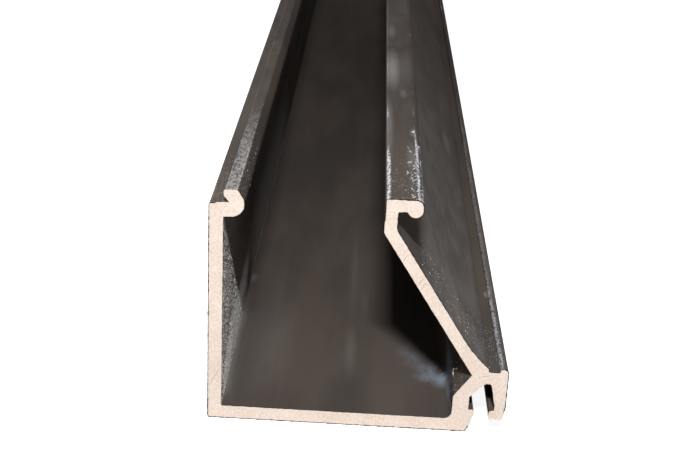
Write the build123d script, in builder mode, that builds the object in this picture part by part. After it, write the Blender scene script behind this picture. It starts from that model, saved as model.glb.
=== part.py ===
import os

from build123d import *

# An aluminium frame extrusion: one open channel, sawn square at both ends.
# It lies on its floor. X runs across the section, from the straight wall to
# the gasket leg, Y along the bar and Z up. The origin is at the middle of the
# bar's length and width, on the surface that it lies on. All in millimetres.

# Overall sizes and walls
length = 1000.0
overall_width = 45.0
overall_height = 37.2
wall = 2.0
splay_wall = 1.8
edge_radius = 0.3
root_radius = 0.2

# Snap hook at the head of the straight wall
hook_reach = 5.0
hook_rise = 2.1
hook_bead_radius = 1.9
hook_cheek_angle = 31.0
hook_tip_inset = 0.15
hook_barb = 0.85
hook_notch_depth = 1.0
hook_notch_rise = 0.2
hook_notch_radius = 0.1

# Splayed wall, from the lip beside the mouth down to its foot
mouth_width = 20.1
knee_drop = 5.2
knee_radius = 1.2
foot_inset = 5.4
foot_height = 9.7
heel_rise = 4.5

# Flange on the lip, with a bead under its tip
flange_reach = 5.4
flange_wall = 1.95
flange_tip_radius = 1.1
flange_bead_radius = 1.15
flange_bead_hang = 0.8

# Gasket groove under the foot, open downwards between two lips
groove_mouth = 2.3
groove_width = 4.0
groove_depth = 4.55
groove_shoulder = 2.25
groove_wall = 2.35
crown_offset = 2.1
crown_width = 1.0
leg_wall = 1.6
leg_shoulder = 1.0
leg_clearance = 2.3
leg_taper = 0.45
leg_taper_rise = 2.2
leg_radius = 0.4
lip_thickness = 1.45
lip_radius = 0.2
toe_lip = 0.9
toe_rise = 2.9
toe_undercut = 1.05
bay_radius = 1.3
bay_shoulder = 6.0
bay_shoulder_radius = 1.0

# Shallow valley on the groove's head, beside a rounded rib
head_wall = 2.1
valley_width = 1.7
valley_depth = 0.55
rib_width = 1.3
rib_radius = 0.3
rib_crest_radius = 0.7

# Places worked out from those sizes, across and up from the outer lower corner
arm_top = overall_height - hook_rise
arm_under = arm_top - hook_bead_radius
tip_inner = wall + hook_tip_inset
notch_root = (wall + hook_notch_depth, arm_top + hook_notch_rise)

lip_face = hook_reach + mouth_width
knee = (lip_face, overall_height - knee_drop)
foot = (overall_width - foot_inset, foot_height)
splay_slope = (foot[0] - knee[0]) / (knee[1] - foot[1])
splay_across = splay_wall * (1 + splay_slope**2) ** 0.5

flange_under = overall_height - flange_wall
flange_tip = lip_face + flange_reach
flange_bead = (flange_tip - flange_bead_radius, flange_under - flange_bead_hang + flange_bead_radius)

groove_right = overall_width - leg_wall
groove_left = groove_right - groove_width
bay_right = groove_left - groove_wall
toe_tip = groove_left + toe_lip
leg_tip = toe_tip + groove_mouth
leg_heel = overall_width - leg_taper
toe_corner = (toe_tip - toe_undercut, 0)
lip_top = leg_clearance + lip_thickness
crown = lip_top + groove_depth
crown_left = groove_left + crown_offset
valley_floor = crown + head_wall
head_top = valley_floor + valley_depth
valley_right = overall_width - rib_width
valley_left = valley_right - valley_width
heel_top = head_top + heel_rise
heel_start = (foot[0] + splay_across - splay_slope * (heel_top - foot[1]), heel_top)


# Rounds the section's corners nearest to these places
def round_corners(radius, *places):
    fillet([vertices().sort_by_distance(place)[0] for place in places], radius)


section_plane = Plane(origin=(-overall_width / 2, 0, 0), x_dir=(1, 0, 0), z_dir=(0, -1, 0))

with BuildPart() as extruded_profile:
    with BuildSketch(section_plane) as section:
        # Straight wall and floor
        with BuildLine():
            Polyline(
                (0, 0),
                (bay_right, 0),
                (bay_right, wall),
                (wall, wall),
                (wall, arm_top),
                (0, arm_top),
                close=True,
            )
        make_face()

        # Hook: an arm that ends in a bead, with a barbed tip over a notch
        with BuildLine():
            bead = CenterArc(
                (hook_reach - hook_bead_radius, arm_top), hook_bead_radius, -90, 90 + hook_cheek_angle
            )
            cheek = PolarLine(
                bead @ 1,
                overall_height - (bead @ 1).Y,
                90 + hook_cheek_angle,
                length_mode=LengthMode.VERTICAL,
            )
            Polyline(
                cheek @ 1,
                (tip_inner, overall_height),
                (tip_inner, overall_height - hook_barb),
                notch_root,
                (0, arm_top),
                (0, arm_under),
                bead @ 0,
            )
        make_face()

        # Lip and splayed wall, of one thickness
        with BuildLine():
            Polyline((lip_face, overall_height), knee, foot)
            offset(amount=splay_wall, side=Side.LEFT, kind=Kind.INTERSECTION)
        make_face()

        # Flare of the splayed wall's heel, out to the valley's edge
        with BuildLine():
            flare = TangentArc(heel_start, (valley_left, head_top), tangent=(splay_slope, -1))
            Polyline(flare @ 1, (foot[0], head_top), flare @ 0)
        make_face()

        # Flange, with its bead
        with BuildLine():
            Polyline(
                (lip_face, overall_height),
                (flange_tip, overall_height),
                (flange_tip, flange_bead[1]),
                flange_bead,
                (flange_bead[0], flange_under),
                (lip_face, flange_under),
                close=True,
            )
        make_face()
        with Locations(flange_bead):
            Circle(flange_bead_radius)

        # Head, leg and toe round the gasket groove
        with BuildLine():
            Polyline(
                (bay_right, 0),
                toe_corner,
                (toe_tip, toe_rise),
                (leg_tip, leg_clearance),
                (leg_heel, leg_clearance),
                (overall_width, leg_clearance + leg_taper_rise),
                (overall_width, head_top),
                (foot[0], head_top),
                foot,
                (bay_right, bay_shoulder),
                close=True,
            )
        make_face()
        with BuildLine():
            Polyline(
                (groove_left, lip_top),
                (groove_left, lip_top + groove_shoulder),
                (crown_left, crown),
                (crown_left + crown_width, crown),
                (groove_right, lip_top + leg_shoulder),
                (groove_right, lip_top),
                close=True,
            )
        make_face(mode=Mode.SUBTRACT)
        with Locations((toe_tip, 0)):
            Rectangle(groove_mouth, lip_top, align=Align.MIN, mode=Mode.SUBTRACT)
        with Locations((valley_left, valley_floor)):
            Rectangle(valley_width, valley_depth, align=Align.MIN, mode=Mode.SUBTRACT)

        # Radii that the die leaves on its corners
        round_corners(bay_radius, (bay_right, wall))
        round_corners(bay_shoulder_radius, (bay_right, bay_shoulder))
        round_corners(knee_radius, knee, (lip_face + splay_wall, knee[1]))
        round_corners(flange_tip_radius, (flange_tip, overall_height))
        round_corners(rib_radius, (valley_right, head_top))
        round_corners(rib_crest_radius, (overall_width, head_top))
        round_corners(leg_radius, (leg_tip, lip_top), (leg_tip, leg_clearance), (leg_heel, leg_clearance))
        round_corners(lip_radius, (toe_tip, lip_top), (toe_tip, toe_rise))
        round_corners(hook_notch_radius, notch_root)
        round_corners(
            edge_radius,
            (0, 0),
            (0, arm_top),
            (tip_inner, overall_height),
            cheek @ 1,
            (lip_face, overall_height),
            toe_corner,
        )
        round_corners(
            root_radius,
            (wall, arm_under),
            (wall, wall),
            (lip_face + splay_wall, flange_under),
            (valley_left, head_top),
            (valley_left, valley_floor),
            (groove_left, lip_top + groove_shoulder),
            (crown_left, crown),
            (crown_left + crown_width, crown),
        )
    extrude(amount=length / 2, both=True)

extruded_profile.part.label = "extruded_profile"
os.makedirs("parts", exist_ok=True)
export_step(extruded_profile.part, "parts/extruded_profile.step")
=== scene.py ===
import math

import bmesh
import bpy
from mathutils import Matrix, Vector


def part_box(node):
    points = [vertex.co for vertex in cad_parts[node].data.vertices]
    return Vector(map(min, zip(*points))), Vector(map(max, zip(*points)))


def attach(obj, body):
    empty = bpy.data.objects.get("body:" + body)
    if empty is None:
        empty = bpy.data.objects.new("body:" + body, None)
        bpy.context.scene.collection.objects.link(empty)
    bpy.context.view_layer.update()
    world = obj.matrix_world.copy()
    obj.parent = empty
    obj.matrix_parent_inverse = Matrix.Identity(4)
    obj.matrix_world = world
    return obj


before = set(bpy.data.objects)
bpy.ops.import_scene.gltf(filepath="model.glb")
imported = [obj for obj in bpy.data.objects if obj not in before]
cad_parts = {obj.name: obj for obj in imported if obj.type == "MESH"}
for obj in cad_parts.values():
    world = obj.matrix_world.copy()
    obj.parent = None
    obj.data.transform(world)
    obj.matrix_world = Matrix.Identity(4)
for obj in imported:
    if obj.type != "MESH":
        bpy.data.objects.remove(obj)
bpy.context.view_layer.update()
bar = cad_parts["extruded_profile"]
barLow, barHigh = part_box("extruded_profile")
millimetre = 0.001
print("frame loaded, bar", [round(v, 4) for v in barHigh - barLow])


# Shader building blocks, each gives back an output socket

def addNode(tree, kind, **settings):
    node = tree.nodes.new(kind)
    for name, value in settings.items():
        setattr(node, name, value)
    return node


def feed(tree, socket, value):
    if isinstance(value, bpy.types.NodeSocket):
        tree.links.new(value, socket)
    else:
        socket.default_value = value


def calc(tree, operation, a, b=0.0, clamp=False):
    node = addNode(tree, "ShaderNodeMath", operation=operation, use_clamp=clamp)
    feed(tree, node.inputs[0], a)
    feed(tree, node.inputs[1], b)
    return node.outputs[0]


def fade(tree, value, low, high):  # 0 below low, 1 above high; swapped ends fade the other way
    node = addNode(tree, "ShaderNodeMapRange", interpolation_type="SMOOTHSTEP")
    feed(tree, node.inputs["Value"], value)
    feed(tree, node.inputs["From Min"], min(low, high))
    feed(tree, node.inputs["From Max"], max(low, high))
    node.inputs["To Min"].default_value = 0.0 if low < high else 1.0
    node.inputs["To Max"].default_value = 1.0 if low < high else 0.0
    return node.outputs["Result"]


def allOf(tree, *masks):
    result = masks[0]
    for mask in masks[1:]:
        result = calc(tree, "MULTIPLY", result, mask)
    return result


def strongest(tree, masks):
    result = masks[0]
    for mask in masks[1:]:
        result = calc(tree, "MAXIMUM", result, mask)
    return result


def band(tree, value, low, high, soft):
    return allOf(tree, fade(tree, value, low - soft, low + soft), fade(tree, value, high + soft, high - soft))


def noise(tree, vector, scale, detail=2.0, roughness=0.5, seed=0.0):
    node = addNode(tree, "ShaderNodeTexNoise", noise_dimensions="4D")
    feed(tree, node.inputs["Vector"], vector)
    feed(tree, node.inputs["W"], seed)
    node.inputs["Scale"].default_value = scale
    node.inputs["Detail"].default_value = detail
    node.inputs["Roughness"].default_value = roughness
    return node.outputs["Fac"]


def stretch(tree, vector, factors):
    node = addNode(tree, "ShaderNodeVectorMath", operation="MULTIPLY")
    feed(tree, node.inputs[0], vector)
    node.inputs[1].default_value = factors
    return node.outputs[0]


def turned(tree, vector, degrees, axis="Z_AXIS"):
    node = addNode(tree, "ShaderNodeVectorRotate", rotation_type=axis)
    feed(tree, node.inputs["Vector"], vector)
    node.inputs["Angle"].default_value = math.radians(degrees)
    return node.outputs[0]


def splitVector(tree, vector):
    parts = addNode(tree, "ShaderNodeSeparateXYZ")
    feed(tree, parts.inputs[0], vector)
    return parts.outputs["X"], parts.outputs["Y"], parts.outputs["Z"]


def tint(tree, mask, under, over):  # one colour laid over another where the mask is 1
    node = addNode(tree, "ShaderNodeMix", data_type="RGBA")
    feed(tree, node.inputs["Factor"], mask)
    feed(tree, node.inputs["A"], under)
    feed(tree, node.inputs["B"], over)
    return node.outputs["Result"]


def raiseSurface(tree, shader, height):  # bump, from a height in millimetres
    bump = addNode(tree, "ShaderNodeBump")
    bump.inputs["Distance"].default_value = millimetre
    feed(tree, bump.inputs["Height"], height)
    feed(tree, shader.inputs["Normal"], bump.outputs["Normal"])


def newMaterial(name):
    material = bpy.data.materials.new(name)
    material.use_nodes = True
    tree = material.node_tree
    return material, tree, tree.nodes["Principled BSDF"]


def sectionPlaces(tree):  # in millimetres: the place, how far across, up, and in from the nearer end
    coordinate = addNode(tree, "ShaderNodeTexCoord").outputs["Object"]
    shifted = addNode(tree, "ShaderNodeVectorMath", operation="MULTIPLY_ADD")
    feed(tree, shifted.inputs[0], coordinate)
    shifted.inputs[1].default_value = (1 / millimetre,) * 3
    shifted.inputs[2].default_value = (-barLow.x / millimetre, 0.0, -barLow.z / millimetre)
    across, length, up = splitVector(tree, shifted.outputs[0])
    along = calc(tree, "SUBTRACT", barHigh.y / millimetre, calc(tree, "ABSOLUTE", length))
    return shifted.outputs[0], across, up, along


def facing(tree):
    return splitVector(tree, addNode(tree, "ShaderNodeNewGeometry").outputs["True Normal"])


def flatDistance(tree, mm, across, up):  # from a line that runs along the bar
    node = addNode(tree, "ShaderNodeVectorMath", operation="DISTANCE")
    feed(tree, node.inputs[0], stretch(tree, mm, (1.0, 0.0, 1.0)))
    node.inputs[1].default_value = (across, 0.0, up)
    return node.outputs["Value"]


# Camera, at the photograph's angle

view = {
    "place": (-0.001193, -0.666391, 0.102477),
    "tilt": 23.053,
    "turn": 0.381,
    "roll": 3.065,
    "lens": 65.217,
}


def makeCamera():
    data = bpy.data.cameras.new("photoCamera")
    data.lens = view["lens"]
    data.clip_start = 0.01
    camera = bpy.data.objects.new("photoCamera", data)
    bpy.context.scene.collection.objects.link(camera)
    aim = Matrix.Rotation(math.radians(view["turn"]), 4, "Z")
    aim = aim @ Matrix.Rotation(math.radians(90.0 - view["tilt"]), 4, "X")
    aim = aim @ Matrix.Rotation(math.radians(view["roll"]), 4, "Z")
    camera.matrix_world = Matrix.Translation(Vector(view["place"])) @ aim
    bpy.context.scene.camera = camera
    return camera


camera = makeCamera()
print("camera", [[round(v, 5) for v in row] for row in camera.matrix_world])


# Floor, world and lamps

studio = {
    "floorReach": 6.0,
    "floorDrop": 0.0001,
    "floorColour": (0.9, 0.9, 0.9, 1.0),
    "floorGlow": 0.9,
    "floorGlowInGloss": 0.3,
    "ambient": 0.06,
}


def shownRays(tree):  # camera rays, then glossy and see-through rays
    paths = addNode(tree, "ShaderNodeLightPath").outputs
    mirrored = calc(tree, "ADD", paths["Is Glossy Ray"], paths["Is Transmission Ray"], clamp=True)
    return paths["Is Camera Ray"], mirrored


def makeFloor():
    reach = studio["floorReach"]
    low = barLow.z - studio["floorDrop"]
    mesh = bpy.data.meshes.new("studioFloor")
    corners = [(-reach, -reach, low), (reach, -reach, low), (reach, reach, low), (-reach, reach, low)]
    mesh.from_pydata(corners, [], [(0, 1, 2, 3)])
    floor = bpy.data.objects.new("studioFloor", mesh)
    bpy.context.scene.collection.objects.link(floor)
    material, tree, shader = newMaterial("paleFloor")
    seen, mirrored = shownRays(tree)
    glow = calc(tree, "MULTIPLY", seen, studio["floorGlow"])
    glow = calc(tree, "ADD", glow, calc(tree, "MULTIPLY", mirrored, studio["floorGlowInGloss"]))
    shader.inputs["Base Color"].default_value = studio["floorColour"]
    shader.inputs["Roughness"].default_value = 0.9
    shader.inputs["Specular IOR Level"].default_value = 0.0
    shader.inputs["Emission Color"].default_value = (1.0, 1.0, 1.0, 1.0)
    feed(tree, shader.inputs["Emission Strength"], glow)
    mesh.materials.append(material)


def makeWorld():
    world = bpy.data.worlds.new("paleRoom")
    world.use_nodes = True
    tree = world.node_tree
    seen, mirrored = shownRays(tree)
    shown = calc(tree, "ADD", seen, mirrored, clamp=True)
    colour = tint(tree, shown, (studio["ambient"],) * 3 + (1.0,), (1.0, 1.0, 1.0, 1.0))
    feed(tree, tree.nodes["Background"].inputs["Color"], colour)
    bpy.context.scene.world = world


lamps = {
    "frontLamp": {
        "place": (-0.0025, -0.675, 0.205), "aim": (0.0, -0.46, 0.01),
        "size": (0.028, 0.012), "spread": 180.0, "watts": 0.70,
    },
    "overLamp": {
        "place": (0.0, 0.3, 0.5), "aim": (0.0, 0.3, 0.0),
        "size": (0.3, 0.5), "spread": 70.0, "watts": 1.6,
    },
    "leftLamp": {
        "place": (-0.8, 0.1, 0.12), "aim": (0.0, 0.1, 0.02),
        "size": (1.1, 0.16), "spread": 120.0, "watts": 4.0,
    },
    "rightLamp": {
        "place": (0.5, -0.46, 0.14), "aim": (0.0, -0.46, 0.02),
        "size": (0.16, 0.12), "spread": 50.0, "watts": 0.006,
    },
    "rightRearLamp": {
        "place": (0.75, 0.28, 0.16), "aim": (0.0, 0.28, 0.02),
        "size": (0.65, 0.2), "spread": 60.0, "watts": 0.28,
    },
    "rearLamp": {
        "place": (0.0, 0.9, 0.2), "aim": (0.0, 0.5, 0.015),
        "size": (0.25, 0.25), "spread": 120.0, "watts": 0.8,
    },
}


def makeLamps():
    for name, lamp in lamps.items():
        data = bpy.data.lights.new(name, "AREA")
        data.shape = "RECTANGLE"
        data.size, data.size_y = lamp["size"]
        data.spread = math.radians(lamp["spread"])
        data.energy = lamp["watts"]
        obj = bpy.data.objects.new(name, data)
        place = Vector(lamp["place"])
        obj.location = place
        obj.rotation_euler = (Vector(lamp["aim"]) - place).to_track_quat("-Z", "Y").to_euler()
        bpy.context.scene.collection.objects.link(obj)


makeFloor()
makeWorld()
makeLamps()
bpy.context.scene.view_settings.view_transform = "Standard"
print("studio ready")


# Bronze of the drawn faces: clouds along the bar and fine lines that the die left

bronze = {
    "dark": (0.085, 0.071, 0.063, 1.0),
    "warm": (0.118, 0.096, 0.081, 1.0),
    "pale": (0.190, 0.175, 0.162, 1.0),
    "lineShare": 0.14,
    "broadLineShare": 0.12,
    "grainShare": 0.1,
    "roughness": 0.88,
    "lineGloss": 0.18,
    "specular": 0.02,
    "lineRelief": 0.006,
    "grainRelief": 0.003,
}


def drawnBronze(tree, mm):
    clouds = noise(tree, stretch(tree, mm, (0.08, 0.022, 0.08)), 1.0, 3.0)
    dieLines = noise(tree, stretch(tree, mm, (2.4, 0.006, 2.4)), 1.0, 3.0, 0.6)
    broadLines = noise(tree, stretch(tree, mm, (0.45, 0.012, 0.45)), 1.0, 2.0, 0.5, 4.0)
    grain = noise(tree, mm, 5.0, 2.0, 0.6, 1.0)
    colour = tint(tree, fade(tree, clouds, 0.38, 0.62), bronze["dark"], bronze["warm"])
    thinPale = allOf(tree, fade(tree, dieLines, 0.55, 0.8), bronze["lineShare"])
    broadPale = allOf(tree, fade(tree, broadLines, 0.55, 0.8), bronze["broadLineShare"])
    colour = tint(tree, calc(tree, "ADD", thinPale, broadPale), colour, bronze["pale"])
    grainPale = allOf(tree, fade(tree, grain, 0.55, 0.75), bronze["grainShare"])
    colour = tint(tree, grainPale, colour, bronze["pale"])
    return colour, dieLines, grain


# Wear: edges rubbed bright, and one painted highlight along the rib's crest, given as place across, place up,
# how wide, how strong and how far the strong rub runs in from an end

wearAndHighlight = {
    "colour": (0.74, 0.77, 0.82, 1.0),
    "edges": [
        (25.4, 37.2, 0.44, 1.0, 30.0),
        (29.8, 37.15, 0.34, 1.0, 44.0),
        (30.5, 36.1, 0.7, 0.95, 28.0),
        (2.2, 37.2, 0.3, 0.3, 14.0),
        (4.0, 37.2, 0.28, 0.35, 30.0),
        (0.1, 35.1, 0.35, 0.3, 12.0),
        (43.9, 10.95, 0.5, 0.65, 46.0),
        # a long faint bright line along the rib's crest: painted highlight
        (43.9, 10.95, 0.7, 0.22, 150.0),
        (44.9, 10.5, 0.35, 0.2, 10.0),
        (44.6, 2.4, 0.35, 0.3, 8.0),
        (0.05, 0.05, 0.4, 0.3, 8.0),
        (39.2, 0.05, 0.35, 0.3, 8.0),
    ],
    "runBoost": 0.24,
    "scratchLow": 27.2,
    "scratchHigh": 30.3,
    "scratchReach": 30.0,
    "scratchSlants": [(-19.0, 1.0), (24.0, 0.85)],  # degrees and share
}


def specks(tree, mm, perMillimetre, size, share):
    cells = addNode(tree, "ShaderNodeTexVoronoi")
    feed(tree, cells.inputs["Vector"], mm)
    cells.inputs["Scale"].default_value = perMillimetre
    draw = splitVector(tree, cells.outputs["Color"])[0]
    dot = fade(tree, cells.outputs["Distance"], size, 0.4 * size)
    return allOf(tree, dot, calc(tree, "LESS_THAN", draw, share))


def dashes(tree, mm, degrees, share):  # specks drawn out along the bar, at a slant
    return specks(tree, stretch(tree, turned(tree, mm, degrees), (3.4, 0.6, 1.0)), 1.0, 0.4, share)


def wornEdgesAndHighlight(tree, mm, across, up, along):
    rubs = noise(tree, stretch(tree, mm, (0.9, 0.055, 0.9)), 1.0, 3.0, 0.6, 2.0)
    pits = fade(tree, noise(tree, stretch(tree, mm, (2.8, 1.7, 2.8)), 1.0, 4.0, 0.75, 3.0), 0.44, 0.54)
    lines = []
    for edgeAcross, edgeUp, reach, strength, run in wearAndHighlight["edges"]:
        boost = calc(tree, "MULTIPLY", fade(tree, along, run, 0.5 * run), wearAndHighlight["runBoost"])
        rubbed = fade(tree, calc(tree, "ADD", rubs, boost), 0.58, 0.74)
        line = fade(tree, flatDistance(tree, mm, edgeAcross, edgeUp), reach, 0.3 * reach)
        lines.append(allOf(tree, line, rubbed, strength))
    marks = [allOf(tree, strongest(tree, lines), pits)]
    # short scratches on the outer half of the flange, closer towards its tip
    share = allOf(
        tree,
        fade(tree, across, wearAndHighlight["scratchLow"], wearAndHighlight["scratchHigh"]),
        fade(tree, up, 36.0, 36.6),
        fade(tree, along, wearAndHighlight["scratchReach"], 4.0),
    )
    for slant, part in wearAndHighlight["scratchSlants"]:
        marks.append(dashes(tree, mm, slant, calc(tree, "MULTIPLY", share, part)))
    return strongest(tree, marks)


# Dust: rough and speckled areas by the sawn ends, and smears, given by middle, radii and strength; the wall's
# grit and foot, the splay's upper edge and one wall smear paint light and shade, as marked below

dust = {
    "speckColour": (0.70, 0.69, 0.67, 1.0),
    "hazeAndPaintedLightColour": (0.40, 0.385, 0.37, 1.0),
    "blueColour": (0.32, 0.40, 0.51, 1.0),
    "gritAndPaintedLightColour": (0.80, 0.775, 0.735, 1.0),
    "smears": [
        ((26.1, -432.0, 37.2), (2.4, 19.0, 1.2), 0.8),
        ((28.4, -431.0, 37.2), (3.4, 18.0, 1.2), 0.2),
        ((26.0, -403.0, 37.2), (1.6, 10.0, 1.2), 0.4),
        ((29.0, -482.0, 37.2), (1.3, 9.0, 0.8), 0.25),
        # the next patch, on the wall's foot just past the hook's shadow line, is painted light
        ((1.6, -458.0, 7.5), (1.0, 17.0, 7.0), 0.6),
        ((7.0, -478.0, 2.0), (6.0, 26.0, 1.5), 0.1),
        ((25.4, -466.0, 37.2), (1.2, 22.0, 0.8), 0.4),
        ((28.0, -448.0, 37.2), (1.1, 4.5, 0.8), 0.3),
        ((39.4, -404.0, 13.6), (3.4, 14.0, 3.4), 0.36),
        ((40.6, -448.0, 11.3), (1.8, 10.0, 2.2), 0.24),
        ((43.4, -473.2, 10.6), (0.6, 1.8, 0.9), 0.6),
        ((40.0, -491.0, 12.4), (1.3, 6.5, 2.0), 0.34),
        ((36.7, -483.2, 17.7), (0.6, 1.2, 0.6), 0.5),
        ((33.4, -478.3, 22.7), (1.6, 5.0, 2.0), 0.22),
        ((29.4, -470.0, 37.2), (0.8, 3.0, 0.8), 0.5),
        ((30.2, -477.0, 37.0), (0.8, 3.0, 0.8), 0.5),
        ((1.0, -455.0, 35.1), (2.4, 42.0, 1.0), 0.08),
        ((37.5, -468.0, 16.3), (3.5, 16.0, 4.0), 0.16),
        ((21.2, -480.0, 2.0), (1.5, 13.0, 1.0), 0.13),
        ((21.1, -448.0, 2.0), (1.1, 26.0, 1.0), 0.09),
        ((23.4, -462.0, 2.0), (1.0, 7.0, 1.0), 0.06),
        ((2.4, -454.0, 2.0), (1.2, 3.0, 1.5), 0.3),
        ((8.0, 489.0, 2.0), (5.0, 7.0, 2.0), 0.35),
        ((28.0, 445.0, 37.2), (2.0, 14.0, 0.6), 0.3),
        ((27.0, 120.0, 37.2), (2.0, 22.0, 0.6), 0.25),
        ((27.5, -160.0, 37.2), (1.8, 30.0, 0.6), 0.2),
    ],
    "blueSmears": [
        ((36.6, -488.0, 2.0), (3.8, 3.8, 2.2), 0.75),
        ((34.2, -485.5, 2.0), (3.6, 5.0, 1.6), 0.45),
        ((34.0, -487.4, 2.0), (3.4, 2.8, 1.6), 0.5),
        ((31.5, -480.5, 2.0), (3.6, 6.5, 1.6), 0.22),
        ((37.0, -489.0, 4.0), (0.9, 11.0, 3.6), 0.6),
    ],
    "streakLow": 3.4,
    "streakHigh": 6.6,
    "streakWidth": 5.4,
    "streakReach": 48.0,
    "hazeRagged": 0.25,
    "blueRagged": 0.42,
    "hazeAndPaintedLight": {
        "streak": 0.9,
        "tip": 0.8,
        "tipLeast": 0.16,
        "wallFootPaintedLight": 0.95,
        "wall": 0.1,
        "arm": 0.14,
        "splay": 0.43,
        "splayEnd": 0.06,
        "highUp": 0.12,
    },
    "areaReach": {  # how far in from an end, and up to where it is full
        "tip": (52.0, 10.0),
        "arm": (34.0, 6.0),
        "cheek": (40.0, 10.0),
        "splay": (19.0, 8.0),
        "flange": (26.0, 6.0),
        "shoulder": (24.0, 8.0),
    },
    "speckShares": {
        "tip": 0.4,
        "arm": 0.14,
        "cheek": 0.32,
        "splay": 0.38,
        "flange": 0.3,
        "shoulder": 0.22,
    },
    "speckSizes": [(2.3, 0.32, 0.42), (5.0, 0.4, 0.8)],  # how many to a millimetre, size and share
    "speckStrength": 0.75,
    "speckRelief": 0.03,
    "tipRelief": 0.06,
    "gritSlant": 27.0,
    "gritAndPaintedLightStrength": 0.9,
    "gritRelief": 0.46,
}


def dustAndPaintedLightAreas(tree, across, up, along, normalX, normalZ):
    level = fade(tree, normalZ, 0.8, 0.9)
    inside = allOf(tree, fade(tree, normalX, 0.6, 0.8), fade(tree, across, 3.2, 2.6))
    outside = allOf(
        tree,
        fade(tree, across, 26.6, 27.2),
        band(tree, up, 9.4, 31.3, 0.3),
        fade(tree, normalZ, 0.2, 0.35),
    )
    onTop = allOf(tree, level, fade(tree, up, 36.6, 37.0))
    areas = {
        "inside": inside,
        "outside": outside,
        # the wall's pale grit ends along the hook's shadow line (up plus along near 33 mm): painted light
        # below the line, painted shade above it
        "wall": allOf(tree, inside, fade(tree, calc(tree, "ADD", up, along), 34.6, 32.4)),
        "tip": allOf(tree, onTop, fade(tree, across, 6.0, 5.4)),
        "arm": allOf(tree, level, band(tree, up, 34.7, 35.5, 0.2)),
        "cheek": allOf(tree, band(tree, across, 4.0, 5.2, 0.2), fade(tree, up, 34.4, 34.8)),
        # specks on the splayed wall stop below about 26 mm up, along the flange's shadow line, so the part
        # under the flange stays dark: painted shade
        "splay": allOf(tree, outside, fade(tree, up, 27.6, 25.6), fade(tree, along, 1.5, 4.5)),
        "flange": allOf(tree, onTop, fade(tree, across, 24.6, 25.0)),
        "shoulder": allOf(tree, fade(tree, normalX, -0.3, -0.5), fade(tree, across, 36.9, 37.2)),
    }
    for name, (reach, full) in dust["areaReach"].items():
        areas[name] = allOf(tree, areas[name], fade(tree, along, reach, full))
    return areas


def smears(tree, mm, places, ragged):
    tatters = noise(tree, stretch(tree, mm, (0.6, 0.3, 0.6)), 1.0, 3.0, 0.6, 6.0)
    patches = []
    for middle, radii, strength in places:
        shifted = addNode(tree, "ShaderNodeVectorMath", operation="SUBTRACT")
        feed(tree, shifted.inputs[0], mm)
        shifted.inputs[1].default_value = middle
        length = addNode(tree, "ShaderNodeVectorMath", operation="LENGTH")
        feed(tree, length.inputs[0], stretch(tree, shifted.outputs[0], [1.0 / r for r in radii]))
        patches.append(allOf(tree, fade(tree, length.outputs["Value"], 1.0, 0.0), strength))
    return allOf(tree, strongest(tree, patches), fade(tree, tatters, ragged - 0.2, ragged + 0.2))


def cornerStreak(tree, mm, across, up, along, inside):  # dust along the wall's foot, and its height
    broken = fade(tree, noise(tree, stretch(tree, mm, (0.5, 0.1, 0.5)), 1.0, 3.0, 0.6, 7.0), 0.2, 0.5)
    ends = allOf(tree, fade(tree, along, 1.0, 7.0), fade(tree, along, dust["streakReach"], 34.0))
    climb = calc(tree, "MULTIPLY", fade(tree, along, 2.0, 16.0), dust["streakHigh"] - dust["streakLow"])
    off = calc(tree, "SUBTRACT", calc(tree, "SUBTRACT", up, dust["streakLow"]), climb)
    width = dust["streakWidth"]
    mask = allOf(tree, inside, fade(tree, off, width, 0.25 * width), ends, broken)
    height = allOf(tree, inside, fade(tree, off, width, -width), ends, 0.8 * width)
    fringe = allOf(tree, fade(tree, across, 3.6, 1.8), fade(tree, up, 2.6, 2.3), ends, broken, 0.3)
    return calc(tree, "MAXIMUM", mask, fringe), height


def dustHazeAndPaintedLight(tree, mm, up, along, normalZ, areas, streak, cloudy, pitted):
    hazeAndPaintedLight = dust["hazeAndPaintedLight"]
    veil = calc(tree, "ADD", calc(tree, "MULTIPLY", cloudy, 0.45), 0.3)
    onTip = calc(tree, "ADD", calc(tree, "MULTIPLY", pitted, hazeAndPaintedLight["tip"]), hazeAndPaintedLight["tipLeast"])
    highUp = allOf(tree, fade(tree, normalZ, 0.6, 0.9), fade(tree, up, 33.0, 34.5))
    # a pale band on the wall's foot from 45 to 130 mm in, where the hook's shadow lies, stands in for light
    # there: painted light
    wallFootPaintedLight = allOf(tree, fade(tree, up, 20.0, 4.0), band(tree, along, 45.0, 130.0, 20.0))
    # the splay's pale haze stops at about 26 mm up, along the flange's shadow line, leaving the part under
    # the flange dark: painted shade
    splay = allOf(tree, band(tree, up, 11.0, 26.2, 1.1), fade(tree, along, 220.0, 4.0))
    layers = [
        smears(tree, mm, dust["smears"], dust["hazeRagged"]),
        allOf(tree, streak, hazeAndPaintedLight["streak"]),
        allOf(tree, areas["tip"], onTip),
        allOf(tree, areas["inside"], wallFootPaintedLight, hazeAndPaintedLight["wallFootPaintedLight"]),
        allOf(tree, areas["inside"], fade(tree, along, 170.0, 60.0), hazeAndPaintedLight["wall"]),
        allOf(tree, areas["arm"], pitted, hazeAndPaintedLight["arm"]),
        allOf(tree, areas["outside"], splay, veil, hazeAndPaintedLight["splay"]),
        allOf(tree, areas["outside"], fade(tree, along, 9.0, 3.0), hazeAndPaintedLight["splayEnd"]),
        allOf(tree, highUp, fade(tree, along, 26.0, 60.0), cloudy, hazeAndPaintedLight["highUp"]),
    ]
    return strongest(tree, layers)


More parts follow.
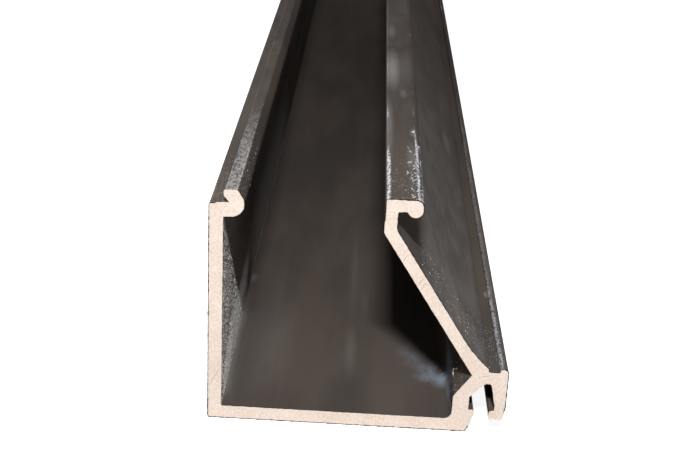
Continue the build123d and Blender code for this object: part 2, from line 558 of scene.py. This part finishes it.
def dustSpecks(tree, mm, areas, cloudy):
    shares = [allOf(tree, areas[name], most) for name, most in dust["speckShares"].items()]
    thicker = calc(tree, "ADD", calc(tree, "MULTIPLY", cloudy, 0.8), 0.4)
    share = allOf(tree, strongest(tree, shares), thicker)
    layers = []
    for perMillimetre, size, part in dust["speckSizes"]:
        layers.append(specks(tree, mm, perMillimetre, size, calc(tree, "MULTIPLY", share, part)))
    return strongest(tree, layers)


# Bare metal of the two sawn ends: arcs of the blade, mottling and a few deeper scratches

sawnEnd = {
    "pale": (0.81, 0.72, 0.645, 1.0),
    "warm": (0.70, 0.57, 0.485, 1.0),
    "scratch": (0.40, 0.30, 0.24, 1.0),
    "metallic": 0.5,
    "polish": 0.3,
    "fineMottling": 0.8,
    "bladeMiddle": (140.0, -72.0),
    "arcsPerMillimetre": 2.6,
    "arcShare": 0.08,
    "arcRelief": 0.008,
    "scratchShare": 0.6,
    "scratches": [
        (0.25, 5.6, 1.5, 8.0),
        (30.1, 23.4, 31.2, 25.2),
        (30.7, 23.0, 31.6, 24.5),
        (28.0, 27.6, 28.6, 28.7),
        (40.5, 9.4, 42.2, 9.8),
    ],
}


def bladeMarks(tree, mm):
    wobble = noise(tree, stretch(tree, mm, (1.0, 0.0, 1.0)), 0.25, 2.0, 0.5, 8.0)
    reach = flatDistance(tree, mm, *sawnEnd["bladeMiddle"])
    arcs = addNode(tree, "ShaderNodeTexNoise", noise_dimensions="1D")
    feed(tree, arcs.inputs["W"], calc(tree, "ADD", reach, wobble))
    arcs.inputs["Scale"].default_value = sawnEnd["arcsPerMillimetre"]
    arcs.inputs["Detail"].default_value = 3.0
    return arcs.outputs["Fac"]


def scratchMask(tree, across, up):
    marks = []
    for x0, z0, x1, z1 in sawnEnd["scratches"]:
        length = math.hypot(x1 - x0, z1 - z0)
        dx, dz = (x1 - x0) / length, (z1 - z0) / length
        fromX = calc(tree, "SUBTRACT", across, x0)
        fromZ = calc(tree, "SUBTRACT", up, z0)
        run = calc(tree, "ADD", calc(tree, "MULTIPLY", fromX, dx), calc(tree, "MULTIPLY", fromZ, dz))
        off = calc(tree, "SUBTRACT", calc(tree, "MULTIPLY", fromZ, dx), calc(tree, "MULTIPLY", fromX, dz))
        narrow = fade(tree, calc(tree, "ABSOLUTE", off), 0.09, 0.02)
        marks.append(allOf(tree, band(tree, run, 0.0, length, 0.15), narrow))
    return strongest(tree, marks)


def sawnMetal(tree, mm, across, up):
    arcs = bladeMarks(tree, mm)
    flat = stretch(tree, mm, (1.0, 0.02, 1.0))
    fine = allOf(tree, noise(tree, flat, 5.5, 2.0, 0.7, 9.0), sawnEnd["fineMottling"])
    broad = allOf(tree, noise(tree, flat, 0.3, 2.0, 0.5, 9.5), 1.0 - sawnEnd["fineMottling"])
    mottling = calc(tree, "ADD", fine, broad)
    colour = tint(tree, fade(tree, mottling, 0.4, 0.6), sawnEnd["warm"], sawnEnd["pale"])
    darkArcs = allOf(tree, fade(tree, arcs, 0.58, 0.75), sawnEnd["arcShare"])
    colour = tint(tree, darkArcs, colour, sawnEnd["scratch"])
    scratches = allOf(tree, scratchMask(tree, across, up), sawnEnd["scratchShare"])
    colour = tint(tree, scratches, colour, sawnEnd["scratch"])
    return colour, arcs


def makeBarFinish():
    material, tree, shader = newMaterial("bronzeFinish")
    material.cycles.use_bump_map_correction = False  # the grit is lit almost along the wall
    mm, across, up, along = sectionPlaces(tree)
    normalX, normalY, normalZ = facing(tree)
    colour, dieLines, grain = drawnBronze(tree, mm)
    areas = dustAndPaintedLightAreas(tree, across, up, along, normalX, normalZ)
    cloudy = fade(tree, noise(tree, stretch(tree, mm, (0.26, 0.09, 0.26)), 1.0, 3.0, 0.6, 18.0), 0.3, 0.7)
    pitted = fade(tree, noise(tree, stretch(tree, mm, (3.0, 1.2, 3.0)), 1.0, 3.0, 0.7, 19.0), 0.42, 0.56)
    streak, streakHeight = cornerStreak(tree, mm, across, up, along, areas["inside"])
    # haze is dust, with painted light on the wall's foot and painted shade where it stops under the flange
    hazeAndPaintedLight = dustHazeAndPaintedLight(tree, mm, up, along, normalZ, areas, streak, cloudy, pitted)
    colour = tint(tree, hazeAndPaintedLight, colour, dust["hazeAndPaintedLightColour"])
    blue = smears(tree, mm, dust["blueSmears"], dust["blueRagged"])
    colour = tint(tree, blue, colour, dust["blueColour"])
    # grit on the wall, raised below in grains that the saw threw in at a slant; its pale colour stops where
    # the hook's shadow falls, so the edge of the lit triangle is painted light
    slanted = stretch(tree, turned(tree, mm, dust["gritSlant"], "X_AXIS"), (1.0, 0.12, 1.0))
    coarse = noise(tree, slanted, 5.0, 2.0, 0.65, 1.5)
    crumbsAndPaintedLight = allOf(tree, areas["wall"], fade(tree, coarse, 0.4, 0.62), dust["gritAndPaintedLightStrength"])
    colour = tint(tree, crumbsAndPaintedLight, colour, dust["gritAndPaintedLightColour"])
    dots = dustSpecks(tree, mm, areas, cloudy)
    colour = tint(tree, allOf(tree, dots, dust["speckStrength"]), colour, dust["speckColour"])
    # rubbed edges are wear; the rib's long crest line among them is a painted highlight
    wornAndHighlight = wornEdgesAndHighlight(tree, mm, across, up, along)
    colour = tint(tree, wornAndHighlight, colour, wearAndHighlight["colour"])
    sawn = fade(tree, calc(tree, "ABSOLUTE", normalY), 0.7, 0.8)
    bare, arcs = sawnMetal(tree, mm, across, up)
    feed(tree, shader.inputs["Base Color"], tint(tree, sawn, colour, bare))
    bareShare = calc(tree, "MAXIMUM", sawn, wornAndHighlight)
    feed(tree, shader.inputs["Metallic"], calc(tree, "MULTIPLY", bareShare, sawnEnd["metallic"]))
    lineGloss = calc(tree, "MULTIPLY", dieLines, bronze["lineGloss"])
    rough = calc(tree, "ADD", bronze["roughness"] - 0.5 * bronze["lineGloss"], lineGloss)
    polish = calc(tree, "MULTIPLY", bareShare, sawnEnd["polish"])
    feed(tree, shader.inputs["Roughness"], calc(tree, "SUBTRACT", rough, polish))
    shader.inputs["Specular IOR Level"].default_value = bronze["specular"]
    drawnHeight = calc(tree, "MULTIPLY", dieLines, bronze["lineRelief"])
    for layer in (
        allOf(tree, grain, bronze["grainRelief"]),
        allOf(tree, coarse, areas["inside"], fade(tree, along, 60.0, 40.0), dust["gritRelief"]),
        allOf(tree, pitted, areas["tip"], dust["tipRelief"]),
        allOf(tree, dots, dust["speckRelief"]),
        streakHeight,
    ):
        drawnHeight = calc(tree, "ADD", drawnHeight, layer)
    height = addNode(tree, "ShaderNodeMix", data_type="FLOAT")
    feed(tree, height.inputs["Factor"], sawn)
    feed(tree, height.inputs["A"], drawnHeight)
    feed(tree, height.inputs["B"], calc(tree, "MULTIPLY", arcs, sawnEnd["arcRelief"]))
    raiseSurface(tree, shader, height.outputs["Result"])
    return material


bar.data.materials.clear()
bar.data.materials.append(makeBarFinish())
print("finish on the bar")


# Geometry Nodes building blocks

def newTree(name, **inputs):
    tree = bpy.data.node_groups.new(name, "GeometryNodeTree")
    tree.interface.new_socket("Geometry", in_out="OUTPUT", socket_type="NodeSocketGeometry")
    tree.interface.new_socket("Geometry", in_out="INPUT", socket_type="NodeSocketGeometry")
    for title, kind in inputs.items():
        tree.interface.new_socket(title, in_out="INPUT", socket_type="NodeSocket" + kind)
    return tree, addNode(tree, "NodeGroupInput").outputs, addNode(tree, "NodeGroupOutput").inputs


def chance(tree, kind, seed, low, high):  # one random value for each point
    node = addNode(tree, "FunctionNodeRandomValue", data_type=kind)
    feed(tree, node.inputs["Seed"], seed)
    slots = [s for s in node.inputs if s.enabled and s.name in ("Min", "Max")]
    slots[0].default_value = low
    slots[1].default_value = high
    return [s for s in node.outputs if s.enabled][0]


def scaleVector(tree, vector, factor):
    node = addNode(tree, "ShaderNodeVectorMath", operation="SCALE")
    feed(tree, node.inputs[0], vector)
    feed(tree, node.inputs["Scale"], factor)
    return node.outputs[0]


def closeTree(tree, geometry, material, leave, smooth):  # real mesh with its material
    shaded = addNode(tree, "GeometryNodeSetShadeSmooth")
    feed(tree, shaded.inputs["Geometry"], geometry)
    shaded.inputs["Shade Smooth"].default_value = smooth
    real = addNode(tree, "GeometryNodeRealizeInstances")
    feed(tree, real.inputs["Geometry"], shaded.outputs["Geometry"])
    painted = addNode(tree, "GeometryNodeSetMaterial")
    feed(tree, painted.inputs["Geometry"], real.outputs["Geometry"])
    feed(tree, painted.inputs["Material"], material)
    feed(tree, leave["Geometry"], painted.outputs["Geometry"])


def growPiece(name, tree, source, **values):
    piece = bpy.data.objects.new(name, source)
    bpy.context.scene.collection.objects.link(piece)
    modifier = piece.modifiers.new(name, "NODES")
    modifier.node_group = tree
    for item in tree.interface.items_tree:
        if item.in_out == "INPUT" and item.name in values:
            modifier[item.identifier] = values[item.name]
    evaluated = piece.evaluated_get(bpy.context.evaluated_depsgraph_get())
    mesh = bpy.data.meshes.new_from_object(evaluated)
    piece.modifiers.remove(modifier)
    piece.data = mesh
    mesh.name = name
    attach(piece, "root")
    print(name, "triangles", sum(len(p.vertices) - 2 for p in mesh.polygons))


def mergedBar():
    mesh = bar.data.copy()
    work = bmesh.new()
    work.from_mesh(mesh)
    bmesh.ops.remove_doubles(work, verts=work.verts, dist=0.000001)
    work.to_mesh(mesh)
    work.free()
    mesh.materials.clear()
    return mesh


def barEnds(reach):  # the two ends of the bar, cut from a copy
    mesh = mergedBar()
    cut = barHigh.y - reach
    work = bmesh.new()
    work.from_mesh(mesh)
    for place in (-cut, cut):
        geometry = work.verts[:] + work.edges[:] + work.faces[:]
        bmesh.ops.bisect_plane(work, geom=geometry, plane_co=(0.0, place, 0.0), plane_no=(0.0, 1.0, 0.0))
    middle = [face for face in work.faces if abs(face.calc_center_median().y) < cut]
    bmesh.ops.delete(work, geom=middle, context="FACES")
    work.to_mesh(mesh)
    work.free()
    return mesh


# Burr that the saw left round both ends: dark finish outside, bare metal on the channel's side

burr = {
    "thin": 0.00005,
    "thick": 0.00011,
    "insideShare": 0.8,
    "step": 0.00018,
    "wander": 0.00004,
    "seed": 3.0,
    "wallLine": -21.5,  # the channel's side lies right of this, above the next,
    "floorLine": 1.0,
    "splayLine": 24.6,  # and left of the splayed wall's middle line
    "splaySlope": 0.65,
    "dark": (0.030, 0.026, 0.025, 1.0),
    "bare": (0.72, 0.62, 0.53, 1.0),
}


def makeBurrFinish():
    material, tree, shader = newMaterial("burrFinish")
    mm = sectionPlaces(tree)[0]
    bare = addNode(tree, "ShaderNodeAttribute", attribute_name="bareShare").outputs["Fac"]
    torn = fade(tree, noise(tree, mm, 1.4, 3.0, 0.6, 12.0), 0.66, 0.76)
    bare = calc(tree, "MAXIMUM", bare, torn)
    shade = noise(tree, mm, 3.0, 2.0, 0.5, 13.0)
    metal = tint(tree, shade, burr["bare"], sawnEnd["pale"])
    feed(tree, shader.inputs["Base Color"], tint(tree, bare, burr["dark"], metal))
    feed(tree, shader.inputs["Metallic"], calc(tree, "MULTIPLY", bare, sawnEnd["metallic"]))
    feed(tree, shader.inputs["Roughness"], calc(tree, "ADD", 0.5, calc(tree, "MULTIPLY", shade, 0.25)))
    shader.inputs["Specular IOR Level"].default_value = bronze["specular"]
    raiseSurface(tree, shader, calc(tree, "MULTIPLY", noise(tree, mm, 9.0, 2.0, 0.5, 14.0), 0.02))
    return material


def makeBurrTree():
    tree, entry, leave = newTree(
        "sawBurrTree",
        thin="Float",
        thick="Float",
        insideShare="Float",
        step="Float",
        wander="Float",
        seed="Float",
        material="Material",
    )
    normalY = splitVector(tree, addNode(tree, "GeometryNodeInputNormal").outputs["Normal"])[1]
    ends = addNode(tree, "GeometryNodeSeparateGeometry", domain="FACE")
    feed(tree, ends.inputs["Geometry"], entry["Geometry"])
    feed(tree, ends.inputs["Selection"], calc(tree, "GREATER_THAN", calc(tree, "ABSOLUTE", normalY), 0.9))
    faces = addNode(tree, "GeometryNodeInputMeshEdgeNeighbors").outputs["Face Count"]
    rim = addNode(tree, "GeometryNodeMeshToCurve")
    feed(tree, rim.inputs["Mesh"], ends.outputs["Selection"])
    feed(tree, rim.inputs["Selection"], calc(tree, "LESS_THAN", faces, 1.5))
    steps = addNode(tree, "GeometryNodeResampleCurve", mode="LENGTH")
    feed(tree, steps.inputs["Curve"], rim.outputs["Curve"])
    feed(tree, steps.inputs["Length"], entry["step"])
    position = addNode(tree, "GeometryNodeInputPosition").outputs["Position"]
    mm = stretch(tree, position, (1 / millimetre,) * 3)
    # each point wanders a little off the outline
    drift = addNode(tree, "ShaderNodeTexNoise", noise_dimensions="4D")
    feed(tree, drift.inputs["Vector"], mm)
    feed(tree, drift.inputs["W"], entry["seed"])
    drift.inputs["Scale"].default_value = 1.6
    centred = addNode(tree, "ShaderNodeVectorMath", operation="SUBTRACT")
    feed(tree, centred.inputs[0], drift.outputs["Color"])
    centred.inputs[1].default_value = (0.5, 0.5, 0.5)
    moved = addNode(tree, "GeometryNodeSetPosition")
    feed(tree, moved.inputs["Geometry"], steps.outputs["Curve"])
    feed(tree, moved.inputs["Offset"], scaleVector(tree, centred.outputs[0], entry["wander"]))
    placeX, _, placeZ = splitVector(tree, mm)
    offSplay = calc(tree, "ADD", placeX, calc(tree, "MULTIPLY", placeZ, burr["splaySlope"]))
    inside = allOf(
        tree,
        calc(tree, "GREATER_THAN", placeX, burr["wallLine"]),
        calc(tree, "GREATER_THAN", placeZ, burr["floorLine"]),
        calc(tree, "LESS_THAN", offSplay, burr["splayLine"]),
    )
    kept = addNode(tree, "GeometryNodeStoreNamedAttribute", data_type="FLOAT", domain="POINT")
    feed(tree, kept.inputs["Geometry"], moved.outputs["Geometry"])
    kept.inputs["Name"].default_value = "bareShare"
    feed(tree, kept.inputs["Value"], inside)
    ragged = fade(tree, noise(tree, mm, 1.3, 3.0, 0.7, entry["seed"]), 0.42, 0.66)
    spread = calc(tree, "MULTIPLY", ragged, calc(tree, "SUBTRACT", entry["thick"], entry["thin"]))
    outsideShare = calc(tree, "SUBTRACT", 1.0, entry["insideShare"])
    slimming = calc(tree, "SUBTRACT", 1.0, calc(tree, "MULTIPLY", inside, outsideShare))
    radius = calc(tree, "MULTIPLY", calc(tree, "ADD", entry["thin"], spread), slimming)
    ring = addNode(tree, "GeometryNodeCurvePrimitiveCircle", mode="RADIUS")
    ring.inputs["Resolution"].default_value = 6
    ring.inputs["Radius"].default_value = 1.0
    swept = addNode(tree, "GeometryNodeCurveToMesh")
    feed(tree, swept.inputs["Curve"], kept.outputs["Geometry"])
    feed(tree, swept.inputs["Profile Curve"], ring.outputs["Curve"])
    feed(tree, swept.inputs["Scale"], radius)
    closeTree(tree, swept.outputs["Mesh"], entry["material"], leave, True)
    return tree


growPiece("sawBurr", makeBurrTree(), mergedBar(), material=makeBurrFinish(), **burr)


# Grit: crumbs of metal from the saw, lying on the faces near both ends; on the wall they stop at the hook's
# shadow line and on the splayed wall at the flange's shadow line, so their pale colour paints light and shade
# there

grit = {
    "density": 12000000.0,
    "small": 0.00003,
    "large": 0.00013,
    "seed": 11,
    "wallShare": 0.65,
    "wallReach": 0.036,
    "splayShare": 0.15,
    "splayReach": 0.018,
    "tipShare": 0.4,
    "tipReach": 0.032,
    "hookShare": 0.05,
    "hookReach": 0.03,
    "shoulderShare": 0.1,
    "shoulderReach": 0.022,
    "dull": (0.42, 0.41, 0.39, 1.0),
    "bright": (0.84, 0.83, 0.81, 1.0),
}


def makeGritFinish():
    material, tree, shader = newMaterial("gritFinish")
    mm = sectionPlaces(tree)[0]
    shade = noise(tree, mm, 2.2, 2.0, 0.5, 15.0)
    colour = tint(tree, fade(tree, shade, 0.4, 0.62), grit["dull"], grit["bright"])
    feed(tree, shader.inputs["Base Color"], colour)
    shader.inputs["Metallic"].default_value = 0.3
    feed(tree, shader.inputs["Roughness"], calc(tree, "ADD", 0.4, calc(tree, "MULTIPLY", shade, 0.3)))
    return material


def makeGritTree():
    tree, entry, leave = newTree(
        "sawGritTree", density="Float", small="Float", large="Float", seed="Int", material="Material"
    )
    strewn = addNode(tree, "GeometryNodeDistributePointsOnFaces", distribute_method="RANDOM")
    feed(tree, strewn.inputs["Mesh"], entry["Geometry"])
    feed(tree, strewn.inputs["Density"], entry["density"])
    feed(tree, strewn.inputs["Seed"], entry["seed"])
    position = addNode(tree, "GeometryNodeInputPosition").outputs["Position"]
    placeX, placeY, placeZ = splitVector(tree, position)
    normalX, normalY, normalZ = splitVector(tree, strewn.outputs["Normal"])
    along = calc(tree, "SUBTRACT", barHigh.y, calc(tree, "ABSOLUTE", placeY))
    across = calc(tree, "SUBTRACT", placeX, barLow.x)
    hook = allOf(tree, calc(tree, "GREATER_THAN", placeZ, 0.034), calc(tree, "LESS_THAN", across, 0.006))
    areas = {
        "wall": (
            calc(tree, "GREATER_THAN", normalX, 0.7),
            calc(tree, "LESS_THAN", across, 0.003),
            # pale crumbs only below the hook's shadow line: painted light
            fade(tree, calc(tree, "ADD", placeZ, along), 0.0346, 0.0324),
        ),
        "splay": (
            calc(tree, "GREATER_THAN", normalZ, 0.3),
            calc(tree, "GREATER_THAN", across, 0.0268),
            calc(tree, "GREATER_THAN", placeZ, 0.0095),
            # no crumbs above the flange's shadow line: painted shade
            calc(tree, "LESS_THAN", placeZ, 0.0268),
        ),
        "tip": (
            hook,
            calc(tree, "GREATER_THAN", normalZ, 0.8),
            calc(tree, "GREATER_THAN", placeZ, 0.0368),
        ),
        "hook": (hook,),
        "shoulder": (
            calc(tree, "LESS_THAN", normalX, -0.3),
            calc(tree, "GREATER_THAN", across, 0.0365),
        ),
    }
    weight = 0.0
    for name, limits in areas.items():
        reach = grit[name + "Reach"]
        part = allOf(tree, *limits, fade(tree, along, reach, 0.4 * reach), grit[name + "Share"])
        weight = calc(tree, "ADD", weight, part)
    weight = calc(tree, "MULTIPLY", weight, calc(tree, "LESS_THAN", calc(tree, "ABSOLUTE", normalY), 0.5))
    clumps = fade(tree, noise(tree, position, 320.0, 3.0, 0.6, 16.0), 0.34, 0.62)
    kept = addNode(tree, "GeometryNodeDeleteGeometry", domain="POINT")
    feed(tree, kept.inputs["Geometry"], strewn.outputs["Points"])
    draw = chance(tree, "FLOAT", calc(tree, "ADD", entry["seed"], 3.0), 0.0, 1.0)
    feed(tree, kept.inputs["Selection"], calc(tree, "GREATER_THAN", draw, allOf(tree, weight, clumps)))
    crumb = addNode(tree, "GeometryNodeMeshUVSphere")
    crumb.inputs["Segments"].default_value = 4
    crumb.inputs["Rings"].default_value = 2
    crumb.inputs["Radius"].default_value = 1.0
    share = calc(tree, "POWER", chance(tree, "FLOAT", entry["seed"], 0.0, 1.0), 3.0)
    size = calc(tree, "MULTIPLY", share, calc(tree, "SUBTRACT", entry["large"], entry["small"]))
    size = calc(tree, "ADD", size, entry["small"])
    nextSeed = calc(tree, "ADD", entry["seed"], 1.0)
    shape = chance(tree, "FLOAT_VECTOR", nextSeed, (0.6, 0.6, 0.35), (1.6, 1.2, 0.8))
    turnSeed = calc(tree, "ADD", nextSeed, 1.0)
    turn = chance(tree, "FLOAT_VECTOR", turnSeed, (0.0, 0.0, 0.0), (6.28, 6.28, 6.28))
    laid = addNode(tree, "GeometryNodeInstanceOnPoints")
    feed(tree, laid.inputs["Points"], kept.outputs["Geometry"])
    feed(tree, laid.inputs["Instance"], crumb.outputs["Mesh"])
    feed(tree, laid.inputs["Rotation"], turn)
    feed(tree, laid.inputs["Scale"], scaleVector(tree, shape, size))
    closeTree(tree, laid.outputs["Instances"], entry["material"], leave, False)
    return tree


growPiece("sawGrit", makeGritTree(), barEnds(grit["wallReach"]), material=makeGritFinish(), **grit)


# Curls of swarf, given by place in the section and along the bar, radius and stretch, in millimetres

curls = {
    "places": [
        ((37.2, -494.6, 6.5), 0.10, 0.75),
        ((37.7, -493.8, 7.2), 0.12, 0.2),
        ((29.4, -470.0, 37.25), 0.26, 0.2),
        ((30.1, -477.0, 37.05), 0.22, 0.16),
        ((36.3, -486.5, 2.1), 0.14, 0.14),
        ((33.4, 488.0, 2.2), 0.30, 0.4),
        ((27.2, 479.0, 37.3), 0.22, 0.3),
        ((12.5, 492.0, 2.1), 0.24, 0.2),
    ],
    "turns": 1.1,
    "rise": 1.5,
    "ribbonWidth": 0.9,
    "ribbonThickness": 0.16,
    "seed": 5,
    "bright": (0.86, 0.86, 0.84, 1.0),
    "dull": (0.52, 0.52, 0.51, 1.0),
}


def makeCurlFinish():
    material, tree, shader = newMaterial("curlFinish")
    mm = sectionPlaces(tree)[0]
    shade = noise(tree, mm, 6.0, 2.0, 0.5, 17.0)
    feed(tree, shader.inputs["Base Color"], tint(tree, shade, curls["dull"], curls["bright"]))
    shader.inputs["Metallic"].default_value = 0.5
    feed(tree, shader.inputs["Roughness"], calc(tree, "ADD", 0.3, calc(tree, "MULTIPLY", shade, 0.3)))
    return material


def makeCurlTree():
    tree, entry, leave = newTree(
        "swarfCurlTree",
        turns="Float",
        rise="Float",
        ribbonWidth="Float",
        ribbonThickness="Float",
        seed="Int",
        material="Material",
    )
    spiral = addNode(tree, "GeometryNodeCurveSpiral")
    spiral.inputs["Resolution"].default_value = 12
    feed(tree, spiral.inputs["Rotations"], entry["turns"])
    spiral.inputs["Start Radius"].default_value = 1.0
    spiral.inputs["End Radius"].default_value = 0.6
    feed(tree, spiral.inputs["Height"], entry["rise"])
    edge = addNode(tree, "GeometryNodeCurvePrimitiveQuadrilateral", mode="RECTANGLE")
    feed(tree, edge.inputs["Width"], entry["ribbonThickness"])
    feed(tree, edge.inputs["Height"], entry["ribbonWidth"])
    ribbon = addNode(tree, "GeometryNodeCurveToMesh")
    feed(tree, ribbon.inputs["Curve"], spiral.outputs["Curve"])
    feed(tree, ribbon.inputs["Profile Curve"], edge.outputs["Curve"])
    ribbon.inputs["Fill Caps"].default_value = True
    size = addNode(tree, "GeometryNodeInputNamedAttribute", data_type="FLOAT_VECTOR")
    size.inputs["Name"].default_value = "curlSize"
    turn = chance(tree, "FLOAT_VECTOR", entry["seed"], (-0.5, -0.5, 0.0), (0.5, 0.5, 6.28))
    laid = addNode(tree, "GeometryNodeInstanceOnPoints")
    feed(tree, laid.inputs["Points"], entry["Geometry"])
    feed(tree, laid.inputs["Instance"], ribbon.outputs["Mesh"])
    feed(tree, laid.inputs["Rotation"], turn)
    feed(tree, laid.inputs["Scale"], size.outputs["Attribute"])
    closeTree(tree, laid.outputs["Instances"], entry["material"], leave, True)
    return tree


def curlPoints():
    mesh = bpy.data.meshes.new("curlPoints")
    corner = Vector((barLow.x, 0.0, barLow.z))
    mesh.from_pydata([corner + Vector(place) * millimetre for place, radius, rise in curls["places"]], [], [])
    sizes = mesh.attributes.new("curlSize", "FLOAT_VECTOR", "POINT")
    for point, (place, radius, rise) in zip(sizes.data, curls["places"]):
        point.vector = Vector((radius, radius, rise)) * millimetre
    return mesh


growPiece("swarfCurls", makeCurlTree(), curlPoints(), material=makeCurlFinish(), **curls)
